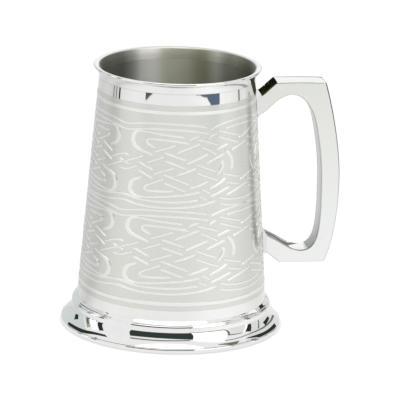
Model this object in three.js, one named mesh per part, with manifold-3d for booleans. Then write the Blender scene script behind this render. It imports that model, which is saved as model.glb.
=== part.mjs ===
// Pewter tankard: a tapered sheet cup wall with a flared lip, a spun base moulding and a
// flat-sided cast D handle. Millimetres, +Z up, resting on Z = 0. The cup's axis is parallel to
// +Z and stands back from the origin, so that the whole tankard, handle included, is centred
// over the origin. The handle reaches out along +X.

import * as THREE from "three";
import { mergeVertices } from "three/addons/utils/BufferGeometryUtils.js";
import Module from "manifold-3d";

const wasm = await Module();
wasm.setup();

// ---- driving dimensions -----------------------------------------------------------------

const HEIGHT = 127.6; // table to the top of the lip
const AROUND = 72; // facets round the cup
const JOINT_GAP = 0.08; // air kept between coaxial pieces
const CUT_GAP = 0.3; // air kept where a piece meets the curved wall

// Cup wall: a straight cone of sheet.
const WALL_BOTTOM_Z = 9.0;
const WALL_TOP_Z = 121.9;
const WALL_R_AT_ZERO = 46.5; // outer radius of the cone carried down to Z = 0
const WALL_TAPER = 0.0757; // radius lost per millimetre of height
const WALL_THICK = 1.3;

// Side seam: a solder strip in a straight slot on the handle side.
const SEAM_WIDTH = 1.6;

// Lip: flared ring with a rolled edge.
const LIP_R = 40.0;
const LIP_INNER_R = 36.7;
const LIP_EDGE_HEIGHT = 1.3;

// Floor.
const FLOOR_BOTTOM_Z = 10.0;
const FLOOR_THICK = 1.6;
const FLOOR_SOLDER = 1.8; // leg of the solder run in the corner

// Base moulding.
const COLLAR_R = 47.9;
const COLLAR_TOP_Z = 12.4;
const COVE_R = 47.9;
const ROLL_R = 49.4;
const ROLL_Z = 7.4;
const SKIRT_R = 52.5;
const SKIRT_BOTTOM_Z = 2.6;
const SKIRT_THICK = 1.2;
const BASE_SOLDER = 1.2; // leg of the solder run between wall and collar

// Foot.
const FOOT_R = 53.1;
const FOOT_HEIGHT = 2.4;
const FOOT_WIDTH = 4.6;

// Handle: outline in its own plane, measured from the cup's axis.
const HANDLE_THICK = 12.0;
const HANDLE_REACH = 79.5;
const HANDLE_TOP_Z = 120.1;
const HANDLE_BOTTOM_Z = 30.5;
const HANDLE_EDGE = 0.7; // softening of the long edges
const ROOT_GAP = CUT_GAP;
const SOLDER_LEG = 1.5; // solder fillet's reach along wall and handle

// The handle's reach and the foot's radius set the middle of the tankard's length.
const AXIS_X = -(HANDLE_REACH - FOOT_R) / 2;

// ---- materials --------------------------------------------------------------------------

const metal = (name, colour, roughness) =>
  new THREE.MeshStandardMaterial({ name, color: colour, roughness, metalness: 1.0 });

const POLISHED = metal("polished pewter", 0xd6d7d3, 0.12);
const SATIN = metal("satin pewter", 0xc6c8c3, 0.34);
const BRUSHED = metal("brushed pewter", 0x9c9c92, 0.42);
const SOLDER = metal("pewter solder", 0xb4b6b2, 0.3);

// ---- helpers ----------------------------------------------------------------------------

// Solid of revolution from a closed list of [radius, z] corners, listed counter-clockwise in
// the radius-height plane, so that the faces look outwards.
function turned(profile, segments = AROUND) {
  const points = profile.map(([r, z]) => new THREE.Vector2(r, z));
  points.push(points[0].clone());
  const geometry = new THREE.LatheGeometry(points, segments);
  geometry.rotateX(Math.PI / 2);
  return geometry;
}

// A corner list for a quarter of an ellipse round a centre, between two angles in degrees.
function arc(centreR, centreZ, radiusR, radiusZ, from, to, steps) {
  const list = [];
  for (let i = 0; i <= steps; i += 1) {
    const angle = THREE.MathUtils.degToRad(from + ((to - from) * i) / steps);
    list.push([centreR + radiusR * Math.cos(angle), centreZ + radiusZ * Math.sin(angle)]);
  }
  return list;
}

const bare = (geometry) => {
  const copy = new THREE.BufferGeometry();
  copy.setAttribute("position", geometry.getAttribute("position").clone());
  if (geometry.index) copy.setIndex(geometry.index.clone());
  return mergeVertices(copy, 1e-4);
};

function solid(geometry) {
  const merged = bare(geometry);
  return new wasm.Manifold(
    new wasm.Mesh({
      numProp: 3,
      vertProperties: new Float32Array(merged.getAttribute("position").array),
      triVerts: new Uint32Array(merged.index.array),
    }),
  );
}

function geometryOf(manifold) {
  const mesh = manifold.getMesh();
  const positions = new Float32Array(mesh.numVert * 3);
  for (let i = 0; i < mesh.numVert; i += 1) {
    positions.set(
      mesh.vertProperties.subarray(i * mesh.numProp, i * mesh.numProp + 3),
      i * 3,
    );
  }
  const geometry = new THREE.BufferGeometry();
  geometry.setAttribute("position", new THREE.BufferAttribute(positions, 3));
  geometry.setIndex(new THREE.BufferAttribute(new Uint32Array(mesh.triVerts), 1));
  geometry.computeVertexNormals();
  return geometry;
}

function named(name, geometry, material) {
  const mesh = new THREE.Mesh(geometry, material);
  mesh.name = name;
  return mesh;
}

const wallOuter = (z) => WALL_R_AT_ZERO - WALL_TAPER * z;
const wallInner = (z) => wallOuter(z) - WALL_THICK;

// ---- cup wall and its seam --------------------------------------------------------------

const wallProfile = [
  [wallInner(WALL_BOTTOM_Z), WALL_BOTTOM_Z],
  [wallOuter(WALL_BOTTOM_Z), WALL_BOTTOM_Z],
  [wallOuter(40), 40],
  [wallOuter(80), 80],
  [wallOuter(WALL_TOP_Z), WALL_TOP_Z],
  [wallInner(WALL_TOP_Z), WALL_TOP_Z],
  [wallInner(80), 80],
  [wallInner(40), 40],
];
const fullWall = solid(turned(wallProfile));

// Radial slab that covers the seam's line on the handle side.
function seamSlab(width) {
  const box = new THREE.BoxGeometry(30, width, HEIGHT + 20);
  box.translate(45, 0, HEIGHT / 2);
  return solid(box);
}

const bodyWall = fullWall.subtract(seamSlab(SEAM_WIDTH));
const sideSeam = fullWall.intersect(seamSlab(SEAM_WIDTH - 2 * JOINT_GAP));

// ---- lip --------------------------------------------------------------------------------

const lipSeatZ = WALL_TOP_Z + JOINT_GAP;
const lipEdgeZ = HEIGHT - LIP_EDGE_HEIGHT / 2;
const lipProfile = [
  [wallInner(WALL_TOP_Z), lipSeatZ],
  [wallOuter(WALL_TOP_Z) + 0.25, lipSeatZ],
  [wallOuter(WALL_TOP_Z) + 0.4, lipSeatZ + 0.5],
  [wallOuter(WALL_TOP_Z) + 0.75, lipSeatZ + 1.5],
  [wallOuter(WALL_TOP_Z) + 1.35, lipSeatZ + 2.5],
  [LIP_R - 0.75, lipEdgeZ - LIP_EDGE_HEIGHT / 2],
  ...arc(LIP_R - 0.55, lipEdgeZ, 0.55, LIP_EDGE_HEIGHT / 2, -60, 75, 4),
  [LIP_R - 1.0, HEIGHT],
  [LIP_INNER_R + 0.9, HEIGHT - 0.15],
  [LIP_INNER_R + 0.3, HEIGHT - 0.7],
  [LIP_INNER_R - 0.1, HEIGHT - 2.2],
];

// ---- floor ------------------------------------------------------------------------------

const floorTopZ = FLOOR_BOTTOM_Z + FLOOR_THICK;
const floorR = wallInner(floorTopZ) - JOINT_GAP;
const floorProfile = [
  [0, FLOOR_BOTTOM_Z],
  [floorR, FLOOR_BOTTOM_Z],
  [floorR, floorTopZ],
  [0, floorTopZ],
];
const cornerZ = floorTopZ + JOINT_GAP;
const floorSolderProfile = [
  [wallInner(cornerZ) - FLOOR_SOLDER, cornerZ],
  [wallInner(cornerZ) - JOINT_GAP, cornerZ],
  [wallInner(cornerZ + FLOOR_SOLDER) - JOINT_GAP, cornerZ + FLOOR_SOLDER],
  [wallInner(cornerZ) - 0.75, cornerZ + 0.7],
];

// ---- base moulding ----------------------------------------------------------------------

const mouldingInner = (z) => wallOuter(z) + JOINT_GAP + 0.1;
const skirtBottomZ = SKIRT_BOTTOM_Z;
const mouldingProfile = [
  // outside, from the skirt's bottom up
  [SKIRT_R, skirtBottomZ],
  [SKIRT_R - 0.9, skirtBottomZ + 0.9],
  [SKIRT_R - 1.9, skirtBottomZ + 2.0],
  [SKIRT_R - 2.6, skirtBottomZ + 3.0],
  ...arc(ROLL_R - 1.6, ROLL_Z, 1.6, 1.7, -45, 80, 4),
  [COVE_R, ROLL_Z + 2.2],
  [COVE_R - 0.1, ROLL_Z + 3.0],
  ...arc(COLLAR_R - 0.7, COLLAR_TOP_Z - 1.0, 0.7, 0.7, -40, 80, 3),
  [mouldingInner(COLLAR_TOP_Z) + 0.5, COLLAR_TOP_Z],
  // inside, from the top down
  [mouldingInner(COLLAR_TOP_Z), COLLAR_TOP_Z - 0.3],
  [mouldingInner(WALL_BOTTOM_Z), WALL_BOTTOM_Z],
  [mouldingInner(WALL_BOTTOM_Z) + 0.4, WALL_BOTTOM_Z - 1.5],
  [ROLL_R - SKIRT_THICK - 1.0, ROLL_Z - 1.2],
  [SKIRT_R - 2.6 - SKIRT_THICK - 0.6, skirtBottomZ + 2.6],
  [SKIRT_R - SKIRT_THICK - 1.4, skirtBottomZ],
];

// Solder line that closes the corner between wall and collar.
const baseSolderZ = COLLAR_TOP_Z + JOINT_GAP;
const baseSolderProfile = [
  [mouldingInner(baseSolderZ), baseSolderZ],
  [mouldingInner(baseSolderZ) + BASE_SOLDER, baseSolderZ],
  [mouldingInner(baseSolderZ) + 0.05, baseSolderZ + BASE_SOLDER],
];

// ---- foot -------------------------------------------------------------------------------

const footTopZ = FOOT_HEIGHT;
const footProfile = [
  [FOOT_R - FOOT_WIDTH, 0],
  [FOOT_R - 0.4, 0],
  [FOOT_R - 0.08, 0.3],
  [FOOT_R, 0.9],
  [FOOT_R, footTopZ - 0.8],
  [FOOT_R - 0.25, footTopZ - 0.2],
  [FOOT_R - 0.7, footTopZ],
  [FOOT_R - FOOT_WIDTH, footTopZ],
];

// ---- handle -----------------------------------------------------------------------------

// Corner points and smooth runs of the handle's outline: [reach from the axis, height].
const ROOT_IN = 30; // the arms are drawn into the cup, then cut off at the wall
const outerTop = [
  [ROOT_IN, 107.4],
  [38.2, 112.8],
  [41.2, 114.6],
  [44.0, 117.2],
  [46.2, 119.2],
  [47.8, HANDLE_TOP_Z],
];
const outerBack = [
  [70.3, HANDLE_TOP_Z - 0.1],
  [71.5, 119.0],
  [73.4, 112.0],
  [74.6, 107.0],
  [75.9, 101.2],
  [77.0, 95.2],
  [78.0, 89.2],
  [78.8, 83.3],
  [79.3, 77.3],
  [HANDLE_REACH, 71.0],
  [79.5, 65.3],
  [79.2, 59.3],
  [78.6, 53.3],
  [77.9, 47.2],
  [77.0, 42.2],
  [76.0, 38.0],
  [74.9, 34.0],
  [73.7, 31.6],
  [72.4, 30.8],
];
const outerBottom = [
  [70.6, HANDLE_BOTTOM_Z],
  [52.8, HANDLE_BOTTOM_Z],
  [50.6, 31.2],
  [45.0, 35.6],
  [ROOT_IN, 46.8],
];
const innerBottom = [
  [ROOT_IN, 52.0],
  [44.6, 44.5],
  [50.4, 41.5],
  [54.8, 38.9],
  [57.6, 37.5],
  [60.8, 36.8],
  [63.9, 37.0],
  [66.6, 38.4],
  [68.6, 41.4],
];
const innerBack = [
  [69.8, 46.0],
  [70.4, 52.0],
  [70.6, 58.6],
  [70.6, 65.2],
  [70.4, 71.8],
  [70.1, 78.8],
  [69.4, 85.6],
  [68.4, 91.9],
  [67.3, 98.0],
  [65.7, 103.6],
  [63.6, 107.8],
  [61.2, 111.0],
  [58.2, 113.1],
  [54.8, 113.8],
];
const innerTop = [
  [51.8, 113.2],
  [48.6, 111.5],
  [45.6, 109.0],
  [42.6, 106.1],
  [40.4, 104.5],
  [38.0, 103.6],
  [ROOT_IN, 102.2],
];

const outline = new THREE.Shape();
[...outerTop, ...outerBack, ...outerBottom, ...innerBottom, ...innerBack, ...innerTop].forEach(
  ([x, z], i) => (i === 0 ? outline.moveTo(x, z) : outline.lineTo(x, z)),
);
outline.closePath();

const handleStock = new THREE.ExtrudeGeometry(outline, {
  depth: HANDLE_THICK - 2 * HANDLE_EDGE,
  bevelEnabled: true,
  bevelThickness: HANDLE_EDGE,
  bevelSize: HANDLE_EDGE,
  bevelOffset: -HANDLE_EDGE,
  bevelSegments: 2,
  steps: 1,
});
handleStock.rotateX(Math.PI / 2);
handleStock.translate(0, HANDLE_THICK / 2 - HANDLE_EDGE, 0);

// Solid cone a little larger than the wall, for cutting pieces clear of it.
function wallCutter(gap) {
  return solid(
    turned([
      [0, -10],
      [wallOuter(-10) + gap, -10],
      [wallOuter(HEIGHT + 20) + gap, HEIGHT + 20],
      [0, HEIGHT + 20],
    ]),
  );
}
const handle = solid(handleStock).subtract(wallCutter(ROOT_GAP));

// Solder fillet: a tapered block round the root, cleared of the wall and of the handle's arm.
function rootSolder(zLow, zHigh, slope) {
  const zMid = (zLow + zHigh) / 2;
  const faceR = wallOuter(zMid);
  const halfY = HANDLE_THICK / 2;
  const halfZ = (zHigh - zLow) / 2;
  const ring = (x, grow) => {
    const z = zMid + slope * (x - faceR);
    return [
      [x, -halfY - grow, z - halfZ - grow],
      [x, halfY + grow, z - halfZ - grow],
      [x, halfY + grow, z + halfZ + grow],
      [x, -halfY - grow, z + halfZ + grow],
    ];
  };
  const corners = [...ring(faceR - 2, SOLDER_LEG + 0.6), ...ring(faceR + SOLDER_LEG, 0.25)];
  const faces = [
    [0, 3, 2], [0, 2, 1],
    [4, 5, 6], [4, 6, 7],
    [0, 1, 5], [0, 5, 4],
    [1, 2, 6], [1, 6, 5],
    [2, 3, 7], [2, 7, 6],
    [3, 0, 4], [3, 4, 7],
  ];
  const geometry = new THREE.BufferGeometry();
  geometry.setAttribute("position", new THREE.Float32BufferAttribute(corners.flat(), 3));
  geometry.setIndex(faces.flat());
  const arm = new THREE.ExtrudeGeometry(outline, {
    depth: HANDLE_THICK + 0.2,
    bevelEnabled: false,
  });
  arm.rotateX(Math.PI / 2);
  arm.translate(0, HANDLE_THICK / 2 + 0.1, 0);
  return solid(geometry).subtract(solid(arm)).subtract(wallCutter(CUT_GAP / 2));
}
const upperSolder = rootSolder(103.9, 112.9, 0.55);
const lowerSolder = rootSolder(36.5, 45.2, -0.62);

// ---- assembly ---------------------------------------------------------------------------

const tankard = new THREE.Group();
tankard.name = "pewter_tankard";
tankard.add(
  named("body_wall", geometryOf(bodyWall), SATIN),
  named("side_seam", geometryOf(sideSeam), SOLDER),
  named("lip_ring", turned(lipProfile), POLISHED),
  named("floor_disc", turned(floorProfile), BRUSHED),
  named("floor_solder_ring", turned(floorSolderProfile), SOLDER),
  named("base_moulding", turned(mouldingProfile), POLISHED),
  named("base_solder_ring", turned(baseSolderProfile), SOLDER),
  named("foot_ring", turned(footProfile), POLISHED),
  named("handle", geometryOf(handle), SATIN),
  named("upper_handle_solder", geometryOf(upperSolder), SOLDER),
  named("lower_handle_solder", geometryOf(lowerSolder), SOLDER),
);
tankard.children.forEach((mesh) => mesh.geometry.translate(AXIS_X, 0, 0));

export default tankard;
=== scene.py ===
"""Looks of the pewter tankard: fine turned surfaces, raised interlace, satin and polished metal,
a white floor and the bright and dark cards that polished pewter mirrors.

Sizes, profiles, the handle's outline and the interlace are in millimetres. The camera, the stage,
the materials and all that Blender receives are in metres. Angles are in degrees. Azimuths are
measured round the cup's axis from the side that faces the camera, towards the handle.
"""

import math

import bpy
import numpy as np
from mathutils import Matrix, Vector


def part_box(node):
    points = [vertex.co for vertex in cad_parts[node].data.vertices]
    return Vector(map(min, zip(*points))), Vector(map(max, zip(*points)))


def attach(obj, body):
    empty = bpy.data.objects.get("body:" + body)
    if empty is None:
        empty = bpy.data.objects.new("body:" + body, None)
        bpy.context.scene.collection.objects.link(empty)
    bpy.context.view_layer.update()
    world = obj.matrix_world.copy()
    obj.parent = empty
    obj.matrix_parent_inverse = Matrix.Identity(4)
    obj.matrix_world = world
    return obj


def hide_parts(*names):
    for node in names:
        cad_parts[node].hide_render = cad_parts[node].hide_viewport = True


MM = 0.001

# ---- where the tankard is looked at from -------------------------------------------------

HANDLE_TURN = 8.15  # the handle points this far behind the camera's right
CAMERA_DISTANCE = 1.600
CAMERA_ELEVATION = 15.68
CAMERA_ROLL = 1.785
CAMERA_LENS = 299.5
CAMERA_SENSOR = 36.0
AIM_RIGHT = 0.01257  # aim point, from the cup's axis
AIM_HEIGHT = 0.06102

# ---- sizes -------------------------------------------------------------------------------

WALL_R_AT_ZERO = 46.5
WALL_TAPER = 0.0757
WALL_THICK = 1.3
WALL_TOP = 121.9
HEIGHT = 127.6
LIP_R = 40.0
LIP_RIM_WIDTH = 2.4
HANDLE_THICK = 12.0
BAND_LOW = 18.7  # polished band round the foot of the wall ends here
BAND_HIGH = 116.6  # polished band round the neck starts here
FLARE_R = 47.97  # top of the base's hollow flare
FLARE_TOP = 9.55
FLARE_SPREAD = 0.255
FLARE_POWER = 1.53
SEGMENTS = 360  # round every turned piece

# ---- metal -------------------------------------------------------------------------------

PATCH_SCALE = 60.0
GRAIN_DEPTH = 0.0002
PEWTER = (0.668, 0.678, 0.634)
PEWTER_BRIGHT = (0.80, 0.80, 0.785)
PEWTER_LINE = (0.80, 0.80, 0.785)
SOLDER = (0.70, 0.70, 0.69)


def wall_outer(z):
    """Radius of the wall's outside at a height."""
    return WALL_R_AT_ZERO - WALL_TAPER * z


def wall_inner(z):
    """Radius of the wall's inside at a height."""
    return wall_outer(z) - WALL_THICK


# ---- mesh helpers ------------------------------------------------------------------------


def make_object(name, vertices, faces, sharp=35.0):
    """Mesh object from an (n, 3) array in metres and lists of corner indices, smooth shaded."""
    mesh = bpy.data.meshes.new(name)
    mesh.from_pydata([tuple(v) for v in vertices], [], faces)
    mesh.validate()
    mesh.shade_smooth()
    mesh.set_sharp_from_angle(angle=math.radians(sharp))
    obj = bpy.data.objects.new(name, mesh)
    bpy.context.scene.collection.objects.link(obj)
    return obj


def grid_faces(rows, columns, wrap_rows=False, wrap_columns=True):
    """Quads over a rows x columns array of points, row by row."""
    faces = []
    last_row = rows if wrap_rows else rows - 1
    last_column = columns if wrap_columns else columns - 1
    for i in range(last_row):
        a = i * columns
        b = ((i + 1) % rows) * columns
        for j in range(last_column):
            k = (j + 1) % columns
            faces.append((a + j, a + k, b + k, b + j))
    return faces


def lathe(name, profile, sharp=35.0):
    """Ring turned round the cup's axis from a closed list of [radius, z] in millimetres, listed
    counter-clockwise."""
    pts = np.array(profile, float) * MM
    angle = np.linspace(0, 2 * math.pi, SEGMENTS, endpoint=False)
    x = AXIS.x + pts[:, :1] * np.cos(angle)
    y = AXIS.y + pts[:, :1] * np.sin(angle)
    z = np.repeat(pts[:, 1:], SEGMENTS, axis=1)
    vertices = np.stack([x, y, z], -1).reshape(-1, 3)
    return make_object(name, vertices, grid_faces(len(pts), SEGMENTS, wrap_rows=True), sharp)


def arc(centre_r, centre_z, radius_r, radius_z, start, stop, steps):
    """Points on an ellipse, from one angle to another."""
    angle = np.radians(np.linspace(start, stop, steps + 1))
    r = centre_r + radius_r * np.cos(angle)
    z = centre_z + radius_z * np.sin(angle)
    return [[float(a), float(b)] for a, b in zip(r, z)]


def smooth_path(points, step):
    """Centripetal Catmull-Rom curve through the points, resampled at even steps."""
    p = np.array(points, float)
    p = np.vstack([2 * p[0] - p[1], p, 2 * p[-1] - p[-2]])
    out = []
    for i in range(1, len(p) - 2):
        a, b, c, d = p[i - 1], p[i], p[i + 1], p[i + 2]
        t0 = 0.0
        t1 = t0 + math.sqrt(np.linalg.norm(b - a)) + 1e-9
        t2 = t1 + math.sqrt(np.linalg.norm(c - b)) + 1e-9
        t3 = t2 + math.sqrt(np.linalg.norm(d - c)) + 1e-9
        t = np.linspace(t1, t2, 16, endpoint=False)[:, None]
        a1 = (t1 - t) / (t1 - t0) * a + (t - t0) / (t1 - t0) * b
        a2 = (t2 - t) / (t2 - t1) * b + (t - t1) / (t2 - t1) * c
        a3 = (t3 - t) / (t3 - t2) * c + (t - t2) / (t3 - t2) * d
        b1 = (t2 - t) / (t2 - t0) * a1 + (t - t0) / (t2 - t0) * a2
        b2 = (t3 - t) / (t3 - t1) * a2 + (t - t1) / (t3 - t1) * a3
        out.append((t2 - t) / (t2 - t1) * b1 + (t - t1) / (t2 - t1) * b2)
    out = np.vstack(out + [p[-2][None]])
    length = np.concatenate([[0], np.cumsum(np.linalg.norm(np.diff(out, axis=0), axis=1))])
    count = max(4, int(round(length[-1] / step)) + 1)
    even = np.linspace(0, length[-1], count)
    return np.stack([np.interp(even, length, out[:, k]) for k in range(out.shape[1])], -1)


# ---- materials ---------------------------------------------------------------------------


def new_material(name):
    """Node material, its nodes and its links."""
    material = bpy.data.materials.new(name)
    material.use_nodes = True
    return material, material.node_tree.nodes, material.node_tree.links


def add_noise(nodes, links, scale, detail, stretch):
    """Noise in object space, stretched along the axes."""
    place = nodes.new("ShaderNodeTexCoord")
    mapping = nodes.new("ShaderNodeMapping")
    mapping.inputs["Scale"].default_value = stretch
    noise = nodes.new("ShaderNodeTexNoise")
    noise.inputs["Scale"].default_value = scale
    noise.inputs["Detail"].default_value = detail
    links.new(place.outputs["Object"], mapping.inputs["Vector"])
    links.new(mapping.outputs["Vector"], noise.inputs["Vector"])
    return noise


def ramp_between(nodes, links, source, low, high):
    """Maps a noise value from 0.3..0.7 to low..high."""
    node = nodes.new("ShaderNodeMapRange")
    node.inputs["From Min"].default_value = 0.3
    node.inputs["From Max"].default_value = 0.7
    node.inputs["To Min"].default_value = low
    node.inputs["To Max"].default_value = high
    links.new(source, node.inputs["Value"])
    return node.outputs["Result"]


def metal(name, colour, rough_low, rough_high, bump, bump_scale, stretch=(1, 1, 1), tint=0.03):
    """Pewter with slightly uneven roughness and tone and a fine hammered or brushed surface."""
    material, nodes, links = new_material(name)
    shader = nodes["Principled BSDF"]
    shader.inputs["Metallic"].default_value = 1.0
    patches = add_noise(nodes, links, PATCH_SCALE, 3.0, (1, 1, 1))
    links.new(
        ramp_between(nodes, links, patches.outputs["Fac"], rough_low, rough_high),
        shader.inputs["Roughness"],
    )
    mix = nodes.new("ShaderNodeMix")
    mix.data_type = "RGBA"
    mix.inputs["A"].default_value = (*(c * (1 - tint) for c in colour), 1)
    mix.inputs["B"].default_value = (*(min(1, c * (1 + tint)) for c in colour), 1)
    grain = add_noise(nodes, links, bump_scale, 2.0, stretch)
    links.new(grain.outputs["Fac"], mix.inputs["Factor"])
    links.new(mix.outputs["Result"], shader.inputs["Base Color"])
    if bump:
        relief = nodes.new("ShaderNodeBump")
        relief.inputs["Strength"].default_value = bump
        relief.inputs["Distance"].default_value = GRAIN_DEPTH
        links.new(grain.outputs["Fac"], relief.inputs["Height"])
        links.new(relief.outputs["Normal"], shader.inputs["Normal"])
    return material


def glow(name, colour, strength):
    """Self-lit card or sky."""
    material, nodes, links = new_material(name)
    nodes.remove(nodes["Principled BSDF"])
    emission = nodes.new("ShaderNodeEmission")
    emission.inputs["Color"].default_value = (*colour, 1)
    emission.inputs["Strength"].default_value = strength
    links.new(emission.outputs["Emission"], nodes["Material Output"].inputs["Surface"])
    return material


def turn_round(nodes, links):
    """0 to 1 once round the cup's axis, from behind it by way of its left."""
    place = nodes.new("ShaderNodeTexCoord")
    from_axis = nodes.new("ShaderNodeVectorMath")
    from_axis.operation = "SUBTRACT"
    from_axis.inputs[1].default_value = AXIS
    links.new(place.outputs["Object"], from_axis.inputs[0])
    angle = nodes.new("ShaderNodeMath")
    angle.operation = "ARCTAN2"
    for i, direction in enumerate((toward(90), toward(0))):
        along = nodes.new("ShaderNodeVectorMath")
        along.operation = "DOT_PRODUCT"
        along.inputs[1].default_value = direction
        links.new(from_axis.outputs["Vector"], along.inputs[0])
        links.new(along.outputs["Value"], angle.inputs[i])
    part = nodes.new("ShaderNodeMapRange")
    part.inputs["From Min"].default_value = -math.pi
    part.inputs["From Max"].default_value = math.pi
    links.new(angle.outputs["Value"], part.inputs["Value"])
    return part.outputs["Result"]


def tone_ramp(nodes, links, part, tones):
    """Colours by azimuth."""
    ramp = nodes.new("ShaderNodeValToRGB")
    stops = ramp.color_ramp.elements
    while len(stops) < len(tones):
        stops.new(0.5)
    for stop, (azimuth, colour) in zip(stops, tones):
        stop.position = (azimuth + 180) / 360
        stop.color = (*colour, 1)
    links.new(part, ramp.inputs["Fac"])
    return ramp


def height_tone(material, low, high, colour_low, colour_high):
    """Colour that changes with height."""
    nodes, links = material.node_tree.nodes, material.node_tree.links
    place = nodes.new("ShaderNodeTexCoord")
    split = nodes.new("ShaderNodeSeparateXYZ")
    links.new(place.outputs["Object"], split.inputs["Vector"])
    part = nodes.new("ShaderNodeMapRange")
    part.inputs["From Min"].default_value = low
    part.inputs["From Max"].default_value = high
    links.new(split.outputs["Z"], part.inputs["Value"])
    mix = nodes.new("ShaderNodeMix")
    mix.data_type = "RGBA"
    mix.inputs["A"].default_value = (*colour_low, 1)
    mix.inputs["B"].default_value = (*colour_high, 1)
    links.new(part.outputs["Result"], mix.inputs["Factor"])
    links.new(mix.outputs["Result"], nodes["Principled BSDF"].inputs["Base Color"])


def brush_round(material, amount):
    """Grooves that run round the upright axis and spread reflections up and down."""
    nodes, links = material.node_tree.nodes, material.node_tree.links
    shader = nodes["Principled BSDF"]
    tangent = nodes.new("ShaderNodeTangent")
    tangent.direction_type = "RADIAL"
    tangent.axis = "Z"
    links.new(tangent.outputs["Tangent"], shader.inputs["Tangent"])
    shader.inputs["Anisotropic"].default_value = amount
    shader.inputs["Anisotropic Rotation"].default_value = 0.25


def paint_reflection_round(material, tones):
    """Multiplies the colour by a tone that changes round the cup: a painted reflection."""
    nodes, links = material.node_tree.nodes, material.node_tree.links
    socket = nodes["Principled BSDF"].inputs["Base Color"]
    source = socket.links[0].from_socket
    ramp = tone_ramp(nodes, links, turn_round(nodes, links), tones)
    mix = nodes.new("ShaderNodeMix")
    mix.data_type = "RGBA"
    mix.blend_type = "MULTIPLY"
    mix.inputs["Factor"].default_value = 1.0
    links.new(source, mix.inputs["A"])
    links.new(ramp.outputs["Color"], mix.inputs["B"])
    links.new(mix.outputs["Result"], socket)


# Painted reflection on the brushed inside: a tone by azimuth, darker and lighter where the studio
# would be mirrored, as (azimuth, colour).
INSIDE_PAINTED_REFLECTION = (
    (-180, (0.99, 0.98, 0.90)),
    (-168, (1.0, 1.0, 0.95)),
    (-162, (1.0, 1.0, 1.0)),
    (-151, (1.0, 1.0, 1.0)),
    (-143, (0.58, 0.60, 0.58)),
    (-134, (0.34, 0.34, 0.32)),
    (-100, (0.27, 0.28, 0.26)),
    (-55, (0.90, 0.90, 0.87)),
    (55, (0.90, 0.90, 0.87)),
    (110, (0.27, 0.28, 0.23)),
    (126, (0.40, 0.41, 0.35)),
    (141, (0.52, 0.53, 0.47)),
    (149, (0.76, 0.76, 0.71)),
    (158, (0.55, 0.56, 0.45)),
    (164, (0.68, 0.67, 0.54)),
    (172, (0.93, 0.92, 0.82)),
    (180, (0.99, 0.98, 0.90)),
)


# ---- turned pieces -----------------------------------------------------------------------


def finish_piece(obj, material, slot, *nodes):
    """Gives a piece its material, hangs it under the root and hides the CAD nodes it stands for. slot
    is not used.
    """
    obj.data.materials.append(material)
    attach(obj, "root")
    if nodes:
        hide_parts(*nodes)


def build_wall():
    """Sheet cone: satin outside with polished bands at the neck and the foot, brushed inside with a
    painted reflection tone.
    """
    heights = np.concatenate([np.linspace(9.0, BAND_LOW, 4), np.linspace(BAND_LOW, BAND_HIGH, 30)[1:]])
    heights = np.concatenate([heights, np.linspace(BAND_HIGH, WALL_TOP, 6)[1:]])
    outer = [[wall_outer(z), z] for z in heights]
    inner = [[wall_inner(z), z] for z in heights[::-1]]
    wall = lathe("body_wall_fine", outer + inner)
    for material in (satin, polished_sheet, brushed):
        wall.data.materials.append(material)
    for face in wall.data.polygons:
        reach = math.hypot(face.center.x - AXIS.x, face.center.y - AXIS.y) / MM
        height = face.center.z / MM
        if reach < wall_outer(height) - 0.3:
            face.material_index = 2
        elif height < BAND_LOW or height > BAND_HIGH:
            face.material_index = 1
    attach(wall, "root")
    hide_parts("body_wall")


def lip_profile():
    """Outside of the flare, the rolled edge, the flat rim and the inner curve."""
    top = WALL_TOP + 0.08
    return [
        [wall_inner(WALL_TOP), top],
        [wall_outer(WALL_TOP) + 0.02, top],
        [wall_outer(WALL_TOP) + 0.15, top + 0.6],
        [wall_outer(WALL_TOP) + 0.40, top + 1.5],
        [wall_outer(WALL_TOP) + 0.90, top + 2.6],
        [LIP_R - 1.0, HEIGHT - 1.75],
        [LIP_R - 0.62, HEIGHT - 1.35],
        *arc(LIP_R - 0.6, HEIGHT - 0.68, 0.6, 0.66, -75, 80, 12),
        [LIP_R - 1.6, HEIGHT - 0.12],
        [LIP_R - 2.3, HEIGHT - 0.38],
        *arc(LIP_R - 2.3, HEIGHT - 1.15, 0.72, 0.70, 100, 165, 6),
        [LIP_R - 3.22, HEIGHT - 1.6],
        [LIP_R - 3.46, HEIGHT - 2.3],
        [LIP_R - 3.68, HEIGHT - 3.2],
        [LIP_R - 3.84, HEIGHT - 4.3],
    ]


def moulding_profile():
    """Collar, upright neck and a hollow flare that spreads to the foot."""
    drop = np.linspace(0.12, FLARE_TOP - 2.7, 34)
    flare = [[FLARE_R + FLARE_SPREAD * x**FLARE_POWER, FLARE_TOP - x] for x in drop]
    return [
        *[[float(r), float(z)] for r, z in flare[::-1]],
        [FLARE_R, FLARE_TOP],
        [FLARE_R - 0.03, 10.4],
        [FLARE_R - 0.03, 11.0],
        *arc(46.55, 10.85, 1.39, 1.39, -6, 52, 14),
        [47.2, 12.10],
        [45.85, 12.20],
        [45.79, 12.0],
        [46.0, 9.0],
        [46.4, 7.5],
        [47.2, 6.0],
        [48.2, 5.0],
        [49.6, 2.6],
    ]


def shoulder_profile():
    """Solder run smoothed into a slope between wall and collar."""
    return [
        [wall_outer(12.2) + 0.02, 12.24],
        [47.35, 12.02],
        [47.2, 12.28],
        [46.4, 12.98],
        [45.75, 13.5],
        [wall_outer(13.75) + 0.02, 13.75],
    ]


def foot_profile():
    """Flat band with a round upper edge."""
    return [
        [48.5, 0.0],
        [52.6, 0.0],
        *arc(52.7, 0.4, 0.4, 0.4, -80, -8, 5),
        [53.1, 1.6],
        *arc(52.1, 1.60, 1.0, 0.98, -4, 88, 14),
        [51.8, 2.60],
        [48.5, 2.42],
    ]


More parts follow.
